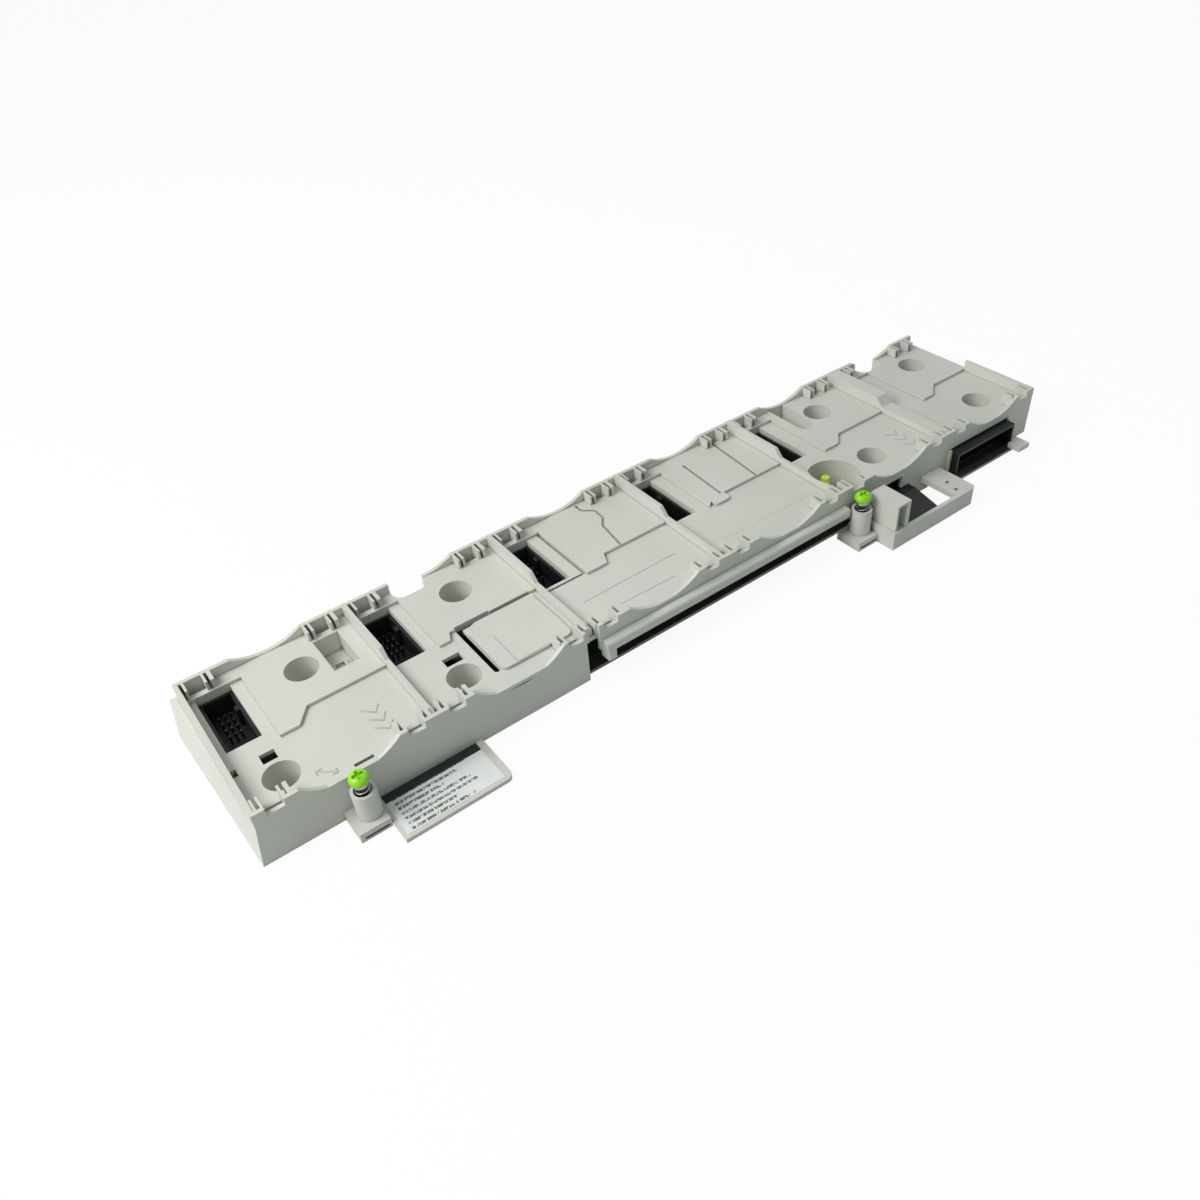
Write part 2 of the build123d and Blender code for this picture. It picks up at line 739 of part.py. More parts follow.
def notch_walls():
    """Walls that follow the rear notches down to the board."""
    walls = []
    for bay in NOTCH_BAYS:
        inside = notch_outline(bay, WALL) & rect(0, LENGTH, 0, DEPTH)
        walls.append(rise(inside, BOARD_TOP + FIT, FLOOR_TOP))
    return walls


def high_grooves():
    """Grooves in the raised fields of the third and fourth bay."""
    third = bay_left(2)
    points = [(third + across, DEPTH - ahead) for across, ahead in WINDING_GROOVE]
    points.append((third + WINDING_GROOVE_END, STEP_REAR))
    paths = [FilletPolyline(*points, radius=WINDING_GROOVE_BEND)]
    fourth = bay_left(3)
    for rear_across, ahead, front_across in (FOURTH_BAY_GROOVE, FOURTH_BAY_LONG_GROOVE):
        rear = (fourth + rear_across, DEPTH - ahead)
        paths.append(Polyline(rear, (fourth + front_across, STEP_REAR)))
    flat = Sketch() + [trace(path, GROOVE) for path in paths]
    return rise(flat, REAR_TOP - GROOVE_DEPTH, REAR_TOP)


def frame_groove():
    """The groove in front of the third bay's well and along its ledge."""
    front = WELL_FRONT - WELL_WALL - FRAME_GROOVE_GAP
    left = bay_left(2) + DIVIDER / 2
    right = well_right(2) + STEP_TURNS[2][0]
    flat = rect(left, right, front, front + GROOVE)
    flat += rect(right - GROOVE, right, front, WELL_REAR)
    return rise(flat, FLOOR_TOP - GROOVE_DEPTH, FLOOR_TOP)


def tray():
    """The whole moulding."""
    solids = [front_wall(), rear_wall(), clip_ribs()] + end_walls() + floor()
    solids += [divider(bay) for bay in range(1, BAYS)]
    solids += well_tubes() + board_posts() + rail() + notch_walls() + header_ribs()
    solids += [label_tab(), lug(), flare(0, FLARE_TOP)]
    cuts = rear_notches() + [high_grooves(), frame_groove(), flare(WALL, FLARE_TOP - WALL)]
    for name in BOSS_PLACES:
        added, removed = boss_and_foot(name)
        solids += added
        cuts += removed
    added, removed = bracket()
    solids += added
    cuts += removed
    cuts.append(rise(cutout_circle(CUTOUT_RADIUS), BOARD_TOP, DIVIDER_TOP))
    return Part() + solids - cuts


def contact_grid(bay):
    """Centres of a fan connector's contacts."""
    x = (well_left(bay) + well_right(bay)) / 2
    length = WELL_REAR - WELL_FRONT
    row_pitch = CONTACTS_SPREAD * length / (CONTACT_ROWS - 1)
    grid = GridLocations(CONTACT_PITCH, row_pitch, CONTACT_COLUMNS, CONTACT_ROWS)
    return Pos(x, WELL_FRONT + CONTACTS_MIDDLE * length) * grid


def board():
    """The circuit board with its tongues, screw holes and contact holes."""
    inset = WALL + BOARD_GAP
    flat = rect(inset, LENGTH - inset, inset, DEPTH - inset)
    tongue_left = BRACKET_RIGHT - TONGUE
    flat += rect(tongue_left, BRACKET_RIGHT - WALL - BOARD_GAP, -SIDE_TONGUE_REACH, inset)
    flat += rect(tongue_left, HEADER_TONGUE_RIGHT, -HEADER_TONGUE_REACH, inset)
    holes = [Pos(x, y) * Circle(SCREW_HOLE / 2) for x, y in post_places()]
    for bay in range(CONNECTOR_BAYS):
        holes += [place * Rectangle(CONTACT_HOLE, CONTACT_HOLE) for place in contact_grid(bay)]
    holes += [notch_outline(bay, 2 * WALL) for bay in NOTCH_BAYS]
    wall = rect(BRACKET_RIGHT - WALL - BOARD_GAP, BRACKET_RIGHT + BOARD_GAP, -BRACKET_REACH, 0)
    return rise(flat - holes - wall, BOARD_LIFT, BOARD_TOP)


def fan_connector(bay):
    """A black connector housing: an open shroud with a raised inner floor."""
    outside = well_outline(bay, -FIT)
    inside = well_outline(bay, -FIT - HOUSING_WALL)
    body = rise(outside, BOARD_TOP, HOUSING_TOP)
    body -= rise(inside, HOUSING_FLOOR_TOP, HOUSING_TOP)
    key_x = well_right(bay) - FIT - HOUSING_WALL
    key_y = WELL_REAR - KEY_REAR_GAP
    body += block(
        key_x - KEY, key_x, key_y, key_y + KEY_LENGTH, HOUSING_FLOOR_TOP, HOUSING_TOP - KEY_DROP
    )
    holes = [place * Rectangle(CONTACT_HOLE, CONTACT_HOLE) for place in contact_grid(bay)]
    return body - rise(Sketch() + holes, BOARD_TOP, HOUSING_FLOOR_TOP)


def fan_contacts(bay):
    """Square contacts from under the board into the housing."""
    pins = [place * Rectangle(CONTACT, CONTACT) for place in contact_grid(bay)]
    return rise(Sketch() + pins, CONTACT_TAIL, CONTACT_TOP)


def header_span():
    """Left and right side of the header connector."""
    return HEADER_GAP[0] + BOARD_GAP, HEADER_GAP[1] - BOARD_GAP


def header_pins():
    """Places of the header's contacts, drawn in X and Z."""
    left, right = header_span()
    pitch = (right - left - 2 * HEADER_MARGIN) / (HEADER_CONTACTS - 1)
    grid = GridLocations(pitch, HEADER_ROW_GAP, HEADER_CONTACTS, 2)
    return Pos((left + right) / 2, BOARD_TOP + HEADER_HEIGHT / 2) * grid


def header():
    """The right-angle header with an open mouth in front."""
    left, right = header_span()
    top = BOARD_TOP + HEADER_HEIGHT
    body = block(left, right, -HEADER_FRONT, HEADER_REAR, BOARD_TOP, top)
    mouth = block(
        left + HEADER_WALL, right - HEADER_WALL, -HEADER_FRONT, HEADER_CAVITY - HEADER_FRONT,
        BOARD_TOP + HEADER_WALL, top - HEADER_WALL,
    )
    holes = [place * Rectangle(CONTACT_HOLE, CONTACT_HOLE) for place in header_pins()]
    return body - mouth - stand(Sketch() + holes, 0, HEADER_REAR)


def header_contacts():
    """Contacts that stand in the header's mouth."""
    pins = [place * Rectangle(HEADER_PIN, HEADER_PIN) for place in header_pins()]
    start = HEADER_CAVITY - HEADER_FRONT - HEADER_PIN_REACH
    return stand(Sketch() + pins, start, HEADER_REAR)


def plug_connector():
    """The low black connector in the bracket frame, sloping down to its lip."""
    top = BOARD_TOP + PLUG_HEIGHT
    lip_top = BOARD_TOP + PLUG_LIP
    profile = Polygon(
        (-PLUG_FRONT, BOARD_TOP), (PLUG_REAR, BOARD_TOP), (PLUG_REAR, top),
        (-PLUG_BEND, top), (-PLUG_FRONT, lip_top), align=None,
    )
    return side(profile, PLUG_LEFT, PLUG_RIGHT) - plug_slot()


def plug_slot():
    """The mouth of the connector, low in its front."""
    middle = BOARD_TOP + PLUG_LIP / 2
    return block(
        PLUG_LEFT + PLUG_SLOT_SIDE, PLUG_RIGHT - PLUG_SLOT_SIDE,
        -PLUG_FRONT, PLUG_SLOT_DEPTH - PLUG_FRONT,
        middle - PLUG_SLOT / 2, middle + PLUG_SLOT / 2,
    )


def plug_contacts():
    """Flat contacts on the lower side of the connector's slot."""
    pitch = (PLUG_RIGHT - PLUG_LEFT - 2 * PLUG_MARGIN) / (PLUG_CONTACTS - 1)
    low = BOARD_TOP + PLUG_LIP / 2 - PLUG_SLOT / 2
    front = FIT - PLUG_FRONT
    rear = PLUG_SLOT_DEPTH - PLUG_FRONT
    strips = []
    for n in range(PLUG_CONTACTS):
        x = PLUG_LEFT + PLUG_MARGIN + n * pitch
        strip = block(
            x - PLUG_CONTACT / 2, x + PLUG_CONTACT / 2, front, rear, low, low + PLUG_SLOT / 4
        )
        strips.append(strip)
    return Part() + strips


def board_screws():
    """Low-headed screws that hold the board from below."""
    head_low = BOARD_LIFT - SCREW_HEAD_HEIGHT
    profile = Polygon(
        (0, head_low), (SCREW_HEAD / 2, head_low), (SCREW_HEAD / 2, BOARD_LIFT),
        (SCREW / 2, BOARD_LIFT), (SCREW / 2, BOARD_LIFT + SCREW_LENGTH),
        (0, BOARD_LIFT + SCREW_LENGTH), align=None,
    )
    screw = revolve(Plane.XZ * profile, Axis.Z)
    return Part() + [Pos(x, y, 0) * screw for x, y in post_places()]


def on_boss(name, part):
    """Puts a piece drawn on the Z axis on a captive screw's axis."""
    return Pos(BOSS_PLACES[name], -BOSS_FORWARD, 0) * part


def captive_cap(name):
    """The domed plastic head with its cross recess."""
    top = CAP_BOTTOM + CAP_HEIGHT
    body = rise(Circle(CAP / 2), CAP_BOTTOM, top)
    body = chamfer(body.edges().sort_by(Axis.Z)[-1], CAP_BEVEL)
    cross = rise(Rectangle(CROSS_LENGTH, CROSS_WIDTH), top - CROSS_DEPTH, top)
    cross += rise(Rectangle(CROSS_WIDTH, CROSS_LENGTH), top - CROSS_DEPTH, top)
    shank = rise(Circle(SHANK / 2), CAP_BOTTOM, CAP_BOTTOM + SHANK_IN_CAP)
    return on_boss(name, body - cross - shank)


def ring_top():
    """Height of the retaining ring's upper face, just under the shoulder."""
    return SHOULDER_TOP - SHOULDER - RUNNING


def captive_shank(name):
    """The steel shank, grooved for its retaining ring, with a pointed tip."""
    radius = SHANK / 2
    groove = radius - RING_GROOVE
    high = ring_top()
    low = high - RING_HEIGHT
    profile = Polygon(
        (0, SHANK_TIP), (radius / 2, SHANK_TIP), (radius, SHANK_TIP + radius / 2),
        (radius, low), (groove, low), (groove, high), (radius, high),
        (radius, CAP_BOTTOM + SHANK_IN_CAP), (0, CAP_BOTTOM + SHANK_IN_CAP), align=None,
    )
    return on_boss(name, revolve(Plane.XZ * profile, Axis.Z))


def retaining_ring(name):
    """The open ring in the shank's groove that keeps the screw in its boss."""
    flat = Circle(RING / 2) - Circle(SHANK / 2 - RING_GROOVE)
    gap = rect(0, RING, -SHANK / 4, SHANK / 4)
    return on_boss(name, rise(flat - gap, ring_top() - RING_HEIGHT, ring_top()))


def washer(name):
    """The washer between spring and head, on which the screw turns."""
    flat = Circle(WASHER / 2) - Circle(SHANK / 2 + RUNNING)
    top = CAP_BOTTOM - RUNNING
    return on_boss(name, rise(flat, top - WASHER_HEIGHT, top))


def spring(name):
    """A coiled spring from the boss's shoulder to the washer."""
    low = SHOULDER_TOP + SPRING_WIRE / 2
    high = CAP_BOTTOM - RUNNING - WASHER_HEIGHT - SPRING_WIRE / 2
    radius = (SPRING - SPRING_WIRE) / 2
    path = Helix(SPRING_PITCH, high - low, radius, center=(0, 0, low))
    section = Plane(path @ 0, z_dir=path % 0) * Rectangle(SPRING_WIRE, SPRING_WIRE)
    return on_boss(name, sweep(section, path, is_frenet=True))


def label():
    """The label on the tab, without its print."""
    flat = rect(
        TAB_LEFT + LABEL_MARGIN, TAB_RIGHT - 2 * LABEL_MARGIN, LABEL_MARGIN - TAB_REACH, -BOARD_GAP
    )
    return rise(flat, TAB, TAB + LABEL)


def lamp_lens():
    """The status lamp on the board, seen through the round cut-out."""
    x = bay_left(LAMP_BAY) + CUTOUT_ACROSS + LAMP_SHIFT[0]
    y = CUTOUT_BACK + LAMP_SHIFT[1]
    return Pos(x, y) * rise(Circle(LAMP / 2), BOARD_TOP, LAMP_TOP)


def all_nodes():
    """Every separate piece by its name."""
    nodes = {"tray": tray(), "backplane_pcb": board()}
    for bay in range(CONNECTOR_BAYS):
        nodes[f"fan_connector_{bay + 1}"] = fan_connector(bay)
        nodes[f"fan_contacts_{bay + 1}"] = fan_contacts(bay)
    nodes["header_connector"] = header()
    nodes["header_contacts"] = header_contacts()
    nodes["bracket_connector"] = plug_connector()
    nodes["bracket_contacts"] = plug_contacts()
    nodes["board_screws"] = board_screws()
    nodes["label"] = label()
    nodes["lamp_lens"] = lamp_lens()
    for name in BOSS_PLACES:
        nodes[f"captive_cap_{name}"] = captive_cap(name)
        nodes[f"captive_shank_{name}"] = captive_shank(name)
        nodes[f"retaining_ring_{name}"] = retaining_ring(name)
        nodes[f"washer_{name}"] = washer(name)
        nodes[f"spring_{name}"] = spring(name)
    return nodes


os.makedirs("parts", exist_ok=True)
for node, shape in all_nodes().items():
    placed = CENTRE * shape
    placed.label = node
    export_step(placed, f"parts/{node}.step")
    print(node, len(placed.solids()), placed.bounding_box())
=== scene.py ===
import bpy
import numpy as np
from mathutils import Matrix, Vector


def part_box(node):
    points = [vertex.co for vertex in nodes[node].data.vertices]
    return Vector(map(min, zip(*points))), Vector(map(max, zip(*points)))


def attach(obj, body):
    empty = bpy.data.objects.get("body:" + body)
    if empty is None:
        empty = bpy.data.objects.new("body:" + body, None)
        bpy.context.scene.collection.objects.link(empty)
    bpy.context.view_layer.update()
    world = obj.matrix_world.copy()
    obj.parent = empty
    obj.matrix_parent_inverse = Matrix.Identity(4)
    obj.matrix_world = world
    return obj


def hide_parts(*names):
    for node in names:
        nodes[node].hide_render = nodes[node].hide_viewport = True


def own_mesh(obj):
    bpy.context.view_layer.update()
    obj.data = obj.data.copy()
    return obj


# Looks of the fan backplane board. The row frame has its origin under the
# middle of the tray, X along the row of fans, Y to the rear and Z up.
# Lengths are written in millimetres and turned into metres where they are used.
MM = 0.001

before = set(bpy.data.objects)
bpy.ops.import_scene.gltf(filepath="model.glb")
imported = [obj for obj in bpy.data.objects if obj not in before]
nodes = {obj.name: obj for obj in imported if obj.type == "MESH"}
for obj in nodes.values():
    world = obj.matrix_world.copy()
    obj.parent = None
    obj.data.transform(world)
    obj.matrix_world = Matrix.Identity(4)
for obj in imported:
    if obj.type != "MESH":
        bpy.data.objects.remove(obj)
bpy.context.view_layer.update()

# Light: the sky's colours in front and behind, and one broad lamp
SKY_FRONT = (0.30, 0.38, 0.42, 1.0)
SKY_BACK = (1.0, 1.0, 1.0, 1.0)
SKY_STRENGTH = 0.52
LAMP_PLACE = (-0.8, 0.12, 0.8)
LAMP_WATTS = 8.9
LAMP_WIDTH = 0.65
WHITE = (1.0, 1.0, 1.0, 1.0)

# Left front corner of the drawing in the row frame, and its levels, in millimetres
CORNER = (-212.2, -29.5)
FLOOR_TOP = 20.4
REAR_TOP = 21.8
FIFTH_BAY = 294.0
FOOT_FRONT = -13.6
# SLOT values: where the dark strips of painted slot shade lie on the feet's fronts
SLOT_LEFT = 6.6
SLOT_RIGHT = 4.1
SLOT_LEVEL = 1.6
SLOT_WIDTH = 1.2
SLOT_RISE = 0.04
TICKS_LEFT = 231.0
TICKS_RIGHT = 281.5
TICKS = 24
TICK_SLOPE = 0.028

# Captive screws: axes, cap and shank, in millimetres
SCREWS = {"left": (37.8, -6.2), "right": (296.3, -6.2)}
CAP_RADIUS = 4.0
CAP_LOW = 22.2
CAP_HIGH = 26.0
CAP_SKIRT = 1.0
CROSS_HALF = 0.62
CROSS_SIDE = 0.14
CROSS_REACH = 2.3
CROSS_END = 0.25
CROSS_DEPTH = 1.2
POLE = 0.02
SHANK_RADIUS = 1.5
SHANK_GROOVE = 1.1
SHANK_LOW = 0.6
SHANK_HIGH = 24.2
RING_LOW = 4.25
RING_HIGH = 4.95
THREAD_LOW = 1.2
THREAD_HIGH = 4.0
THREAD_PITCH = 0.5
THREAD_DEPTH = 0.28
WIRE_RADIUS = 0.3
COIL_RADIUS = 2.7
COIL_TURNS = 6.5
CLOSED_WIRES = 2.2

# Floor in metres, and the photo's viewpoint as worked out from the row's edges
FLOOR_HALF = 6.0
FLOOR_LEVEL = -0.2 * MM
FLOOR_LIT = (0.62, 0.62, 0.62, 1.0)
FLOOR_SEEN = (0.95, 0.95, 0.95, 1.0)
PLAIN_WHITE = 0.93
LENS = 30.49
VIEW_PLACE = (-0.22826, -0.28529, 0.30148)
VIEW_RIGHT = (0.8024, -0.5929, -0.0681)
VIEW_FORWARD = (0.4145, 0.6358, -0.6511)


# Colours and shader nodes
def linear(code):
    """Linear colour with alpha from an sRGB hex code."""
    parts = [int(code[i:i + 2], 16) / 255 for i in (1, 3, 5)]
    return tuple(c / 12.92 if c <= 0.04045 else ((c + 0.055) / 1.055) ** 2.4 for c in parts) + (1.0,)


def add(tree, kind, inputs=None, **settings):
    """One shader node with its settings, its inputs filled or linked."""
    made = tree.nodes.new("ShaderNode" + kind)
    for key, value in settings.items():
        setattr(made, key, value)
    for key, value in (inputs or {}).items():
        if isinstance(value, bpy.types.NodeSocket):
            tree.links.new(value, made.inputs[key])
        else:
            made.inputs[key].default_value = value
    return made


def start(name):
    """A new material with its tree and its main shader."""
    material = bpy.data.materials.new(name)
    material.use_nodes = True
    return material, material.node_tree, material.node_tree.nodes["Principled BSDF"]


def join(tree, shader, **sockets):
    """Values or links on the main shader's sockets, by their names."""
    for key, value in sockets.items():
        socket = shader.inputs[key.replace("_", " ")]
        if isinstance(value, bpy.types.NodeSocket):
            tree.links.new(value, socket)
        else:
            socket.default_value = value


def white_rays(tree):
    """One for rays that come from the camera, a mirror or glass, so that all three meet white."""
    path = add(tree, "LightPath").outputs
    first, second, third = path["Is Camera Ray"], path["Is Glossy Ray"], path["Is Transmission Ray"]
    either = add(tree, "Math", {0: first, 1: second}, operation="MAXIMUM").outputs[0]
    return add(tree, "Math", {0: either, 1: third}, operation="MAXIMUM").outputs[0]


# Finishes. A pattern's Scale is one over its real size, and a colour Mix has
# its factor on input 0, its two colours on 6 and 7 and its result on output 2.
# A MapRange has its value on 0, the range it comes from on 1 and 2, and the
# range it goes to on 3 and 4.
def moulding(name, light, shade, rough, corners, grain=0.35, shine=0.5):
    """Injection-moulded ABS blend with a spark-eroded skin.

    It gives the eye an even satin tone with slow changes from the melt's flow,
    faint streaks along the row, a few specks, a fine grain that breaks up the
    gloss, and painted shade, with some dust, as a darker tone in grooves and
    corners found by ambient occlusion.
    The real grain is about 0.05 mm and is drawn coarser here, so that it shows.
    """
    material, tree, shader = start(name)
    spot = add(tree, "TexCoord").outputs["Object"]
    slow = add(tree, "TexNoise", {"Vector": spot, "Scale": 1 / (55 * MM), "Detail": 4.0}).outputs["Fac"]
    patch = add(tree, "MapRange", {0: slow, 1: 0.35, 2: 0.65}).outputs[0]
    tone = add(tree, "Mix", {0: patch, 6: linear(light), 7: linear(shade)}, data_type="RGBA").outputs[2]
    drawn = add(tree, "Mapping", {"Vector": spot, "Scale": (0.35, 1.6, 1.0)}).outputs[0]
    flow = add(tree, "TexNoise", {"Vector": drawn, "Scale": 1 / (9 * MM)}).outputs["Fac"]
    streak = add(tree, "MapRange", {0: flow, 1: 0.3, 2: 0.7, 4: 0.25}).outputs[0]
    tone = add(tree, "Mix", {0: streak, 6: tone, 7: linear(shade)}, data_type="RGBA").outputs[2]
    dots = add(tree, "TexNoise", {"Vector": spot, "Scale": 1 / (1.1 * MM)}).outputs["Fac"]
    speck = add(tree, "MapRange", {0: dots, 1: 0.66, 2: 0.74, 4: 0.12}).outputs[0]
    tone = add(tree, "Mix", {0: speck, 6: tone, 7: linear(corners)}, data_type="RGBA").outputs[2]
    # Painted shade: grooves and corners, found by ambient occlusion, take the darker corners colour.
    near = add(tree, "AmbientOcclusion", {"Distance": 2.4 * MM}, samples=4).outputs["AO"]
    painted_corner_shade = add(tree, "MapRange", {0: near, 1: 0.12, 2: 0.62, 3: 0.85, 4: 0.0}).outputs[0]
    tone = add(tree, "Mix", {0: painted_corner_shade, 6: tone, 7: linear(corners)}, data_type="RGBA").outputs[2]
    gloss = add(tree, "MapRange", {0: slow, 1: 0.35, 2: 0.65, 3: rough[0], 4: rough[1]}).outputs[0]
    fine = {"Vector": spot, "Scale": 1 / (grain * MM), "Roughness": 0.6}
    skin = add(tree, "TexNoise", fine).outputs["Fac"]
    bump = add(tree, "Bump", {"Height": skin, "Distance": 0.012 * MM}).outputs[0]
    join(tree, shader, Base_Color=tone, Roughness=gloss, Specular_IOR_Level=shine, Normal=bump)
    return material


def plated(name, light, dark, rough, stretch=(1.0, 1.0, 1.0)):
    """Plated or drawn metal.

    It gives the eye a soft shine with fine lines from turning or drawing, and
    cloudy patches where the plating has gone dull.
    """
    material, tree, shader = start(name)
    spot = add(tree, "TexCoord").outputs["Object"]
    cloud = add(tree, "TexNoise", {"Vector": spot, "Scale": 1 / (2.5 * MM), "Detail": 3.0}).outputs["Fac"]
    dull = add(tree, "MapRange", {0: cloud, 1: 0.35, 2: 0.65}).outputs[0]
    tone = add(tree, "Mix", {0: dull, 6: linear(light), 7: linear(dark)}, data_type="RGBA").outputs[2]
    gloss = add(tree, "MapRange", {0: cloud, 1: 0.35, 2: 0.65, 3: rough[0], 4: rough[1]}).outputs[0]
    drawn = add(tree, "Mapping", {"Vector": spot, "Scale": stretch}).outputs[0]
    lines = add(tree, "TexNoise", {"Vector": drawn, "Scale": 1 / (0.4 * MM)}).outputs["Fac"]
    bump = add(tree, "Bump", {"Height": lines, "Distance": 0.01 * MM}).outputs[0]
    join(tree, shader, Base_Color=tone, Metallic=1.0, Roughness=gloss, Normal=bump)
    return material


def solder_mask():
    """Epoxy glass board under a dark solder mask.

    It gives the eye a satin green black face with paler copper areas just
    under it, about 3 mm wide, an olive sawn edge and a little pale dust.
    """
    material, tree, shader = start("solder_mask")
    spot = add(tree, "TexCoord").outputs["Object"]
    flat = add(tree, "Mapping", {"Vector": spot, "Scale": (1.0, 1.0, 0.0)}).outputs[0]
    cells = add(tree, "TexVoronoi", {"Vector": flat, "Scale": 1 / (3.2 * MM)}, distance="CHEBYCHEV")
    copper = add(tree, "MapRange", {0: cells.outputs["Distance"], 1: 0.38, 2: 0.42}).outputs[0]
    greens = {0: copper, 6: linear("#232B26"), 7: linear("#2E3832")}
    face = add(tree, "Mix", greens, data_type="RGBA").outputs[2]
    normal = add(tree, "NewGeometry").outputs["Normal"]
    facing = add(tree, "SeparateXYZ", {0: normal}).outputs["Z"]
    either = add(tree, "Math", {0: facing}, operation="ABSOLUTE").outputs[0]
    level = add(tree, "MapRange", {0: either, 1: 0.5, 2: 0.6}).outputs[0]
    tone = add(tree, "Mix", {0: level, 6: linear("#524F26"), 7: face}, data_type="RGBA").outputs[2]
    cloud = add(tree, "TexNoise", {"Vector": spot, "Scale": 1 / (6 * MM), "Detail": 4.0}).outputs["Fac"]
    dust = add(tree, "MapRange", {0: cloud, 1: 0.55, 2: 0.75, 4: 0.08}).outputs[0]
    tone = add(tree, "Mix", {0: dust, 6: tone, 7: linear("#8A8B80")}, data_type="RGBA").outputs[2]
    gloss = add(tree, "MapRange", {0: copper, 3: 0.42, 4: 0.32}).outputs[0]
    bump = add(tree, "Bump", {"Height": copper, "Distance": 0.02 * MM}).outputs[0]
    join(tree, shader, Base_Color=tone, Roughness=gloss, Normal=bump)
    return material


def printed_film():
    """Printed polyester film with generic rows of specks in place of its words.

    It gives the eye a cool white, slightly glossy film with a black strip along
    the wall and rows 2.75 mm apart that end raggedly and can't be read.
    """
    low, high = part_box("label")
    material, tree, shader = start("printed_film")
    spot = add(tree, "TexCoord").outputs["Object"]
    place = add(tree, "SeparateXYZ", {0: spot}).outputs
    along = add(tree, "MapRange", {0: place["X"], 1: low[0], 2: high[0]}).outputs[0]
    across = add(tree, "MapRange", {0: place["Y"], 1: low[1], 2: high[1]}).outputs[0]
    row = add(tree, "Math", {0: across, 1: 8.0}, operation="MULTIPLY").outputs[0]
    number = add(tree, "Math", {0: row}, operation="FLOOR").outputs[0]
    inside = add(tree, "Math", {0: row}, operation="FRACT").outputs[0]
    band = add(tree, "Math", {0: inside, 1: 0.5, 2: 0.24}, operation="COMPARE").outputs[0]
    chance = add(tree, "TexWhiteNoise", {"W": number}, noise_dimensions="1D").outputs["Value"]
    reach = add(tree, "MapRange", {0: chance, 3: 0.52, 4: 0.84}).outputs[0]
    before = add(tree, "Math", {0: along, 1: reach}, operation="LESS_THAN").outputs[0]
    after = add(tree, "Math", {0: along, 1: 0.06}, operation="GREATER_THAN").outputs[0]
    columns = add(tree, "Mapping", {"Vector": spot, "Scale": (1.0, 0.35, 0.0)}).outputs[0]
    fine = {"Vector": columns, "Scale": 1 / (0.75 * MM), "Detail": 1.0}
    bits = add(tree, "TexNoise", fine).outputs["Fac"]
    speck = add(tree, "MapRange", {0: bits, 1: 0.42, 2: 0.5}).outputs[0]
    in_row = add(tree, "Math", {0: band, 1: speck}, operation="MULTIPLY").outputs[0]
    in_span = add(tree, "Math", {0: before, 1: after}, operation="MULTIPLY").outputs[0]
    ink = add(tree, "Math", {0: in_row, 1: in_span}, operation="MULTIPLY").outputs[0]
    cloud = add(tree, "TexNoise", {"Vector": spot, "Scale": 1 / (12 * MM), "Detail": 3.0}).outputs["Fac"]
    whites = {0: cloud, 6: linear("#F1F2EF"), 7: linear("#E6E8E5")}
    paper = add(tree, "Mix", whites, data_type="RGBA").outputs[2]
    worn = add(tree, "Math", {0: ink, 1: 0.85}, operation="MULTIPLY").outputs[0]
    tone = add(tree, "Mix", {0: worn, 6: paper, 7: linear("#33383A")}, data_type="RGBA").outputs[2]
    strip = add(tree, "Math", {0: across, 1: 0.8}, operation="GREATER_THAN").outputs[0]
    tone = add(tree, "Mix", {0: strip, 6: tone, 7: linear("#1E2021")}, data_type="RGBA").outputs[2]
    bump = add(tree, "Bump", {"Height": cloud, "Distance": 0.03 * MM}).outputs[0]
    join(tree, shader, Base_Color=tone, Roughness=0.38, Normal=bump)
    return material


def light_guide():
    """Cast acrylic light guide, tinted yellow green.

    It gives the eye a glossy, flat colour with faint drawn streaks down its
    length, and a faint painted glow that makes it a little brighter than its
    surroundings.
    """
    material, tree, shader = start("light_guide")
    spot = add(tree, "TexCoord").outputs["Object"]
    drawn = add(tree, "Mapping", {"Vector": spot, "Scale": (1.0, 1.0, 0.2)}).outputs[0]
    streak = add(tree, "TexNoise", {"Vector": drawn, "Scale": 1 / (1.2 * MM)}).outputs["Fac"]
    greens = {0: streak, 6: linear("#9CC226"), 7: linear("#B2D23C")}
    tone = add(tree, "Mix", greens, data_type="RGBA").outputs[2]
    bump = add(tree, "Bump", {"Height": streak, "Distance": 0.02 * MM}).outputs[0]
    # Painted glow: the emission makes the guide brighter, with no lamp behind it.
    join(
        tree, shader, Base_Color=tone, Roughness=0.25, IOR=1.49,
        Emission_Color=tone, Emission_Strength=0.3, Normal=bump,
    )
    return material


def paint():
    """A material on every CAD node, by what it is made of, and those that own pieces share."""
    # The last colour of each moulding is the tone of its specks and of the painted shade in its grooves
    # and corners.
    tray = moulding("tray_moulding", "#DBDBD1", "#D3D4C9", (0.45, 0.58), "#5A5747")
    housing = moulding("black_housing", "#191A1B", "#202122", (0.4, 0.52), "#0C0C0C", 0.25, 0.3)
    cap = moulding("green_cap", "#9CEA10", "#90DE0E", (0.28, 0.38), "#4A7C08", 0.3)
    tin = plated("tinned_contact", "#5C5A52", "#3B3934", (0.35, 0.5), (1.0, 1.0, 6.0))
    bronze = plated("bronze_contact", "#8A5A34", "#6B4327", (0.3, 0.45), (6.0, 1.0, 1.0))
    steel = plated("plated_steel", "#B9BBBC", "#8E9192", (0.24, 0.4), (1.0, 1.0, 8.0))
    wire = plated("spring_wire", "#A9ABAC", "#7C7F80", (0.2, 0.32))
    finishes = {
        "tray": tray, "backplane_pcb": solder_mask(), "label": printed_film(),
        "lamp_lens": light_guide(),
        "fan_connector": housing, "header_connector": housing, "bracket_connector": housing,
        "fan_contacts": tin, "header_contacts": bronze, "bracket_contacts": bronze,
        "board_screws": steel, "captive_cap": cap, "captive_shank": steel,
        "retaining_ring": wire, "washer": steel, "spring": wire,
    }
    for name, thing in nodes.items():
        finish = next(finishes[prefix] for prefix in finishes if name.startswith(prefix))
        thing.data.materials.clear()
        thing.data.materials.append(finish)
    return cap, steel, wire


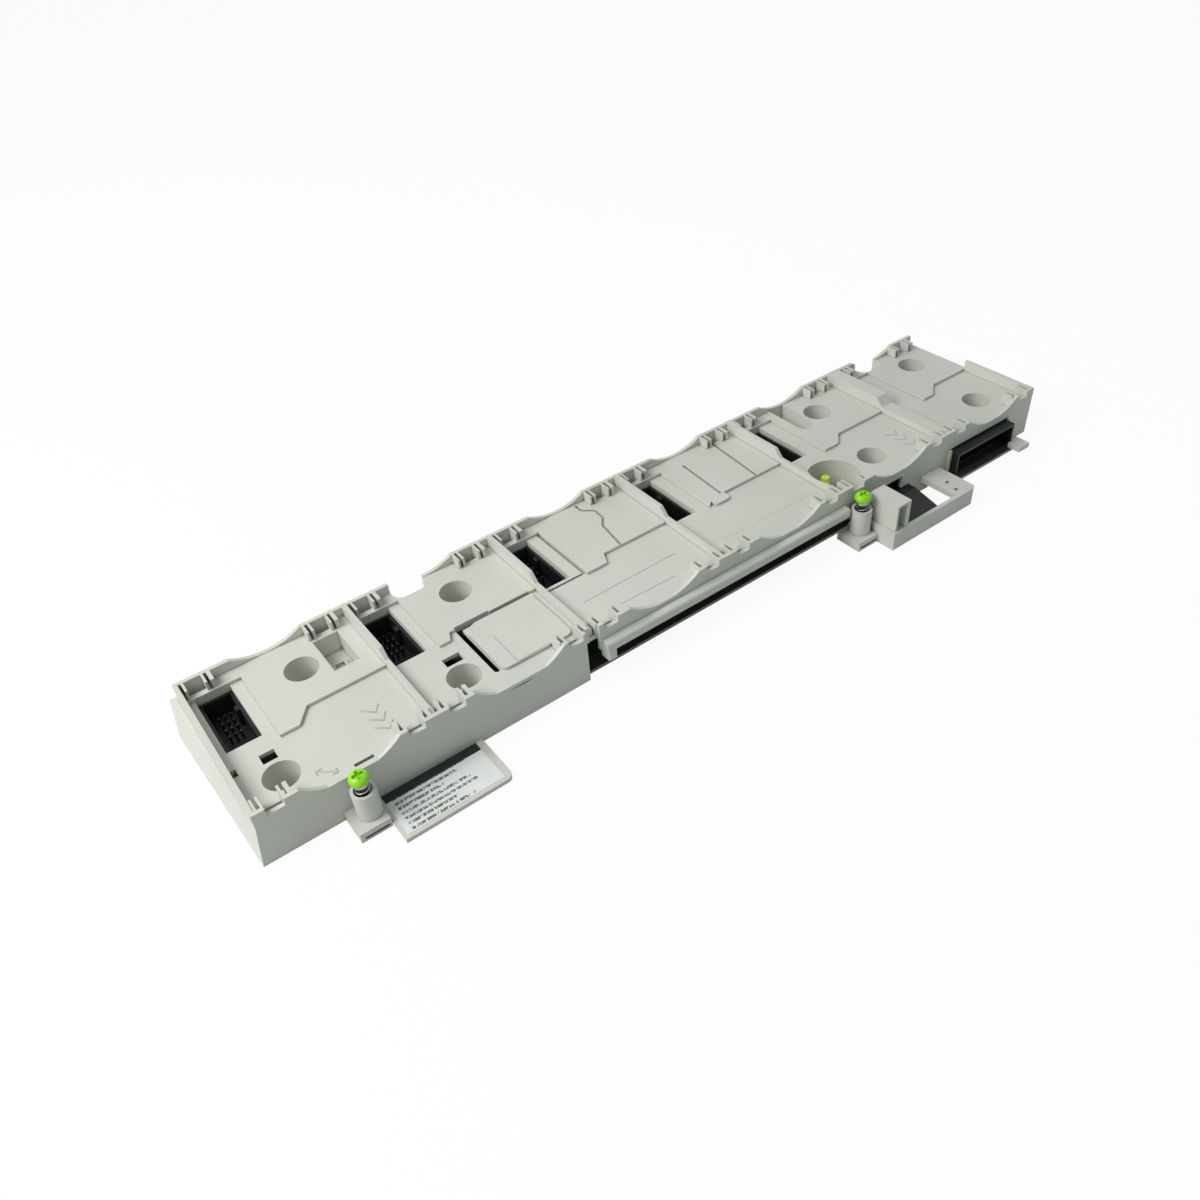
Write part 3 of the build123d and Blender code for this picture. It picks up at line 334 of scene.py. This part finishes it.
# Pieces of this file's own, worked out in millimetres on grids of rings
def tube(rings):
    """Corners, side faces and two end faces of rings of points, joined one to the next."""
    count, around = rings.shape[:2]
    index = np.arange(count * around).reshape(count, around)
    after = np.roll(index, -1, axis=1)
    sides = np.stack([index[:-1], after[:-1], after[1:], index[1:]], axis=-1).reshape(-1, 4)
    return rings.reshape(-1, 3), sides, np.stack([index[0, ::-1], index[-1]])


def piece(name, parts, material, body):
    """One object from corners and faces in the drawing's millimetres, riding on a body."""
    corners, faces, count = [], [], 0
    for points, sides, ends in parts:
        corners.append(points)
        faces += (count + sides).tolist() + (count + ends).tolist()
        count += len(points)
    placed = (np.concatenate(corners) + (*CORNER, 0.0)) * MM
    data = bpy.data.meshes.new(name)
    data.from_pydata(placed.tolist(), [], faces)
    data.polygons.foreach_set("use_smooth", np.ones(len(faces), bool))
    data.materials.append(material)
    made = bpy.data.objects.new(name, data)
    bpy.context.scene.collection.objects.link(made)
    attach(made, body)
    return made


def stroke(points, level, width, height):
    """A low moulded ridge, half sunk in the floor.

    An ellipse of the given width and height is carried along straight runs,
    and shrinks at both ends as the root of one less the square of how far
    inside the rounded end it still is.
    """
    line = np.array(points, float)
    along = np.concatenate([[0.0], np.cumsum(np.linalg.norm(np.diff(line, axis=0), axis=1))])
    rounding = width * np.array([0.0, 0.1, 0.3, 0.6, 1.0])
    stations = np.unique(np.concatenate([along, rounding, along[-1] - rounding]).round(4))
    x = np.interp(stations, along, line[:, 0])
    y = np.interp(stations, along, line[:, 1])
    run_x, run_y = np.gradient(x), np.gradient(y)
    length = np.hypot(run_x, run_y)
    inside = np.clip(np.minimum(stations, along[-1] - stations) / width, 0, 1)
    size = np.sqrt(1.0 - 0.99 * (1.0 - inside) ** 2)[:, None]
    angle = np.linspace(0, 2 * np.pi, 12, endpoint=False)
    aside = size * np.cos(angle) * width / 2
    rings = np.stack([
        x[:, None] - aside * (run_y / length)[:, None],
        y[:, None] + aside * (run_x / length)[:, None],
        level + size * np.sin(angle) * height,
    ], axis=-1)
    return tube(rings)


def chevrons(left):
    """Three chevrons one behind the other, beside a bay's front posts."""
    return [
        [(left + 53.7, 26.9), (left + 58.3, 22.4), (left + 61.1, 26.2)],
        [(left + 54.0, 20.6), (left + 58.8, 16.6), (left + 61.3, 20.6)],
        [(left + 53.9, 15.4), (left + 58.7, 11.4), (left + 61.7, 14.8)],
    ]


def signs(material):
    """Raised chevrons, an arrow, ribs and ticks on the floors, as such trays have them."""
    arrow = [
        [(27.2, 9.9), (33.8, 4.4)],
        [(27.0, 7.4), (27.2, 9.9), (29.9, 9.8)],
        [(31.2, 4.4), (33.8, 4.4), (33.9, 7.0)],
    ]
    ribs = [[(156.2, 21.9), (207.3, 22.4)], [(167.7, 11.0), (197.0, 10.1)]]
    pad = [[(115.2, 28.4), (115.1, 8.9), (131.5, 9.2)]]
    ticks = [
        [(x, 16.7 - TICK_SLOPE * (x - TICKS_LEFT)), (x + 0.5, 15.2 - TICK_SLOPE * (x - TICKS_LEFT))]
        for x in np.linspace(TICKS_LEFT, TICKS_RIGHT, TICKS) if not (245 < x < 249 or 264 < x < 268)
    ]
    for name, lines, level, width, height in (
        ("bay_1_signs", chevrons(0.0) + arrow, FLOOR_TOP, 0.9, 0.22),
        ("bay_5_signs", chevrons(FIFTH_BAY), FLOOR_TOP, 0.8, 0.18),
        ("bay_3_ribs", ribs, FLOOR_TOP, 0.7, 0.12),
        ("bay_4_ticks", ticks, FLOOR_TOP, 0.6, 0.12),
        ("bay_2_pad_rib", pad, REAR_TOP, 0.7, 0.12),
    ):
        parts = [stroke(line, level, width, height) for line in lines]
        piece(name, parts, material, "body")


def slot_shade_strips(material):
    """Dark strips of painted shade for the slots low on the feet's front faces.

    Each is a flat stroke, turned a quarter about X onto the wall.
    """
    for name, (x, _) in SCREWS.items():
        line = [(x - SLOT_LEFT, SLOT_LEVEL), (x + SLOT_RIGHT, SLOT_LEVEL)]
        points, sides, ends = stroke(line, -FOOT_FRONT, SLOT_WIDTH, SLOT_RISE)
        on_wall = points[:, [0, 2, 1]] * (1, -1, 1)
        piece(f"foot_slot_shade_{name}", [(on_wall, sides, ends)], material, "body")


def round_rings(name, radius, height):
    """Rings about a captive screw's axis from radii and heights that spread over ring and angle."""
    x, y = SCREWS[name]
    angle = np.linspace(0, 2 * np.pi, radius.shape[1], endpoint=False)
    east, north = x + radius * np.cos(angle), y + radius * np.sin(angle)
    return np.stack([east, north, height + 0 * radius], axis=-1)


def screw_cap(name, material):
    """The domed cap with its cross recess.

    Below its widest ring the cap tapers in a little. Above it the radius goes
    with a power of the cosine and the height with the sine of one angle, and
    the cross is pressed in where a point lies within either arm.
    """
    around = 120
    rise = np.radians(np.linspace(0, 90, 40))
    widest = CAP_LOW + CAP_SKIRT
    dome_radius = CAP_RADIUS * np.cos(rise) ** 0.7
    dome_radius[-1] = POLE
    dome_height = widest + (CAP_HIGH - widest) * np.sin(rise) ** 0.85
    radius = np.concatenate([[POLE, 2.0, 3.3, 3.5, 3.8], dome_radius])
    skirt = [CAP_LOW, CAP_LOW, CAP_LOW, CAP_LOW + 0.05, CAP_LOW + 0.4]
    height = np.concatenate([skirt, dome_height])
    radius = np.repeat(radius[:, None], around, axis=1)
    height = np.repeat(height[:, None], around, axis=1)
    angle = np.linspace(0, 2 * np.pi, around, endpoint=False)
    x, y = np.abs(radius * np.cos(angle)), np.abs(radius * np.sin(angle))
    near, far = np.minimum(x, y), np.maximum(x, y)
    arm = np.clip((CROSS_HALF - near) / CROSS_SIDE, 0, 1) * np.clip((CROSS_REACH - far) / CROSS_END, 0, 1)
    height = height - CROSS_DEPTH * arm * (height > widest)
    rings = round_rings(name, radius, height)
    made = piece(f"screw_cap_{name}", [tube(rings)], material, f"screw_{name}")
    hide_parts(f"captive_cap_{name}")


def threaded_shank(name, material):
    """The steel shank with its thread, ring groove and pointed tip.

    In the thread the radius falls below the crest by half the depth times one
    plus the cosine of a full turn for each pitch, less the angle round the axis.
    """
    around = 36
    turned = np.linspace(THREAD_LOW, THREAD_HIGH, 72)
    height = np.concatenate([
        [SHANK_LOW, SHANK_LOW, 0.9], turned,
        [RING_LOW, RING_LOW, RING_HIGH, RING_HIGH, CAP_LOW, SHANK_HIGH, SHANK_HIGH],
    ])
    radius = np.concatenate([
        [POLE, 0.75, 1.1], np.full(len(turned), SHANK_RADIUS),
        [SHANK_RADIUS, SHANK_GROOVE, SHANK_GROOVE, SHANK_RADIUS, SHANK_RADIUS, SHANK_RADIUS, POLE],
    ])
    angle = np.linspace(0, 2 * np.pi, around, endpoint=False)
    fade = np.clip((height - 1.1) / 0.4, 0, 1) * np.clip((THREAD_HIGH - height) / 0.3, 0, 1)
    wave = (1 + np.cos(2 * np.pi * height[:, None] / THREAD_PITCH - angle)) / 2
    radius = radius[:, None] - THREAD_DEPTH * fade[:, None] * wave
    rings = round_rings(name, radius, np.repeat(height[:, None], around, axis=1))
    made = piece(f"threaded_shank_{name}", [tube(rings)], material, f"screw_{name}")
    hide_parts(f"captive_shank_{name}")


def coil_spring(name, material):
    """The round-wire spring between shoulder and washer.

    A circle is carried along a helix. Its height rises by just over a wire's
    width in the first and the last turn, which lie closed, and evenly between.
    """
    low, high = (end[2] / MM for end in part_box(f"spring_{name}"))
    x, y = SCREWS[name]
    first, last, closed = low + WIRE_RADIUS, high - WIRE_RADIUS, CLOSED_WIRES * WIRE_RADIUS
    turns = np.linspace(0.0, COIL_TURNS, 240)
    levels = [first, first + closed, last - closed, last]
    height = np.interp(turns, [0, 1, COIL_TURNS - 1, COIL_TURNS], levels)
    angle = 2 * np.pi * turns
    outward = np.stack([np.cos(angle), np.sin(angle), 0 * angle], axis=-1)
    climb = np.gradient(height, angle) / COIL_RADIUS
    forward = np.stack([-np.sin(angle), np.cos(angle), climb], axis=-1)
    forward /= np.linalg.norm(forward, axis=1)[:, None]
    upward = np.cross(forward, outward)
    middle = outward * COIL_RADIUS + np.stack([x + 0 * height, y + 0 * height, height], axis=-1)
    section = np.linspace(0, 2 * np.pi, 12, endpoint=False)[None, :, None]
    circle = np.cos(section) * outward[:, None] + np.sin(section) * upward[:, None]
    rings = middle[:, None] + WIRE_RADIUS * circle
    made = piece(f"coil_spring_{name}", [tube(rings)], material, "body")
    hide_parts(f"spring_{name}")
    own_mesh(made)


# Floor, light and camera
def white_floor():
    """A wide floor, white to the camera with a faint shadow, and pale grey to the light.

    Nearly all of what the camera sees is plain white, and the rest is lit.
    """
    half, low = FLOOR_HALF, FLOOR_LEVEL
    data = bpy.data.meshes.new("floor")
    corners = [(-half, -half, low), (half, -half, low), (half, half, low), (-half, half, low)]
    data.from_pydata(corners, [], [(0, 1, 2, 3)])
    floor = bpy.data.objects.new("floor", data)
    bpy.context.scene.collection.objects.link(floor)
    material, tree, shader = start("backdrop")
    seen = white_rays(tree)
    tone = add(tree, "Mix", {0: seen, 6: FLOOR_LIT, 7: FLOOR_SEEN}, data_type="RGBA")
    join(tree, shader, Base_Color=tone.outputs[2], Roughness=0.9)
    glow = add(tree, "Emission", {"Color": WHITE, "Strength": 1.0})
    share = add(tree, "Math", {0: seen, 1: PLAIN_WHITE}, operation="MULTIPLY").outputs[0]
    both = add(tree, "MixShader", {0: share, 1: shader.outputs[0], 2: glow.outputs[0]})
    tree.links.new(both.outputs[0], tree.nodes["Material Output"].inputs[0])
    data.materials.append(material)


def sky():
    """A pale sky, dimmer and cooler in front, that the camera, a mirror or glass sees as white."""
    world = bpy.data.worlds.new("sky")
    bpy.context.scene.world = world
    world.use_nodes = True
    tree = world.node_tree
    way = add(tree, "TexCoord").outputs["Generated"]
    depth = add(tree, "SeparateXYZ", {0: way}).outputs["Y"]
    behind = add(tree, "MapRange", {0: depth, 1: -0.9, 2: 0.7}).outputs[0]
    tone = add(tree, "Mix", {0: behind, 6: SKY_FRONT, 7: SKY_BACK}, data_type="RGBA").outputs[2]
    seen = white_rays(tree)
    shown = add(tree, "Mix", {0: seen, 6: tone, 7: WHITE}, data_type="RGBA").outputs[2]
    power = add(tree, "MapRange", {0: seen, 3: SKY_STRENGTH, 4: 1.0}).outputs[0]
    tree.links.new(shown, tree.nodes["Background"].inputs["Color"])
    tree.links.new(power, tree.nodes["Background"].inputs["Strength"])


def lamp():
    """One broad soft lamp, high on the left, so that the row gets dimmer to the right."""
    data = bpy.data.lights.new("lamp", "AREA")
    data.energy = LAMP_WATTS
    data.size = LAMP_WIDTH
    made = bpy.data.objects.new("lamp", data)
    made.location = LAMP_PLACE
    made.rotation_euler = Vector(LAMP_PLACE).to_track_quat("Z", "Y").to_euler()
    bpy.context.scene.collection.objects.link(made)


def camera():
    """The photo's viewpoint: over the left front corner, looking along the row."""
    data = bpy.data.cameras.new("view")
    data.sensor_width = 36.0
    data.lens = LENS
    data.clip_start = 0.01
    seen = bpy.data.objects.new("view", data)
    right = Vector(VIEW_RIGHT).normalized()
    forward = Vector(VIEW_FORWARD).normalized()
    up = right.cross(forward)
    turn = Matrix((right, up, -forward)).transposed()
    seen.matrix_world = Matrix.Translation(VIEW_PLACE) @ turn.to_4x4()
    bpy.context.scene.collection.objects.link(seen)
    bpy.context.scene.camera = seen


cap_green, shank_steel, coil_wire = paint()
# The signs are of the tray's own plastic; their darker tones are painted shade, so that the thin ridges
# read as grey lines.
signs(moulding("raised_signs", "#C2C4BB", "#B8BAB0", (0.45, 0.58), "#8A8878"))
# A dark strip of painted shade on each foot's front, where a slot's shaded inside would be.
slot_shade_strips(moulding("painted_slot_shade", "#3A3932", "#2E2D28", (0.5, 0.6), "#1E1D1A"))
for side in SCREWS:
    screw_cap(side, cap_green)
    threaded_shank(side, shank_steel)
    coil_spring(side, coil_wire)
white_floor()
sky()
lamp()
camera()
bpy.context.scene.view_settings.view_transform = "Standard"
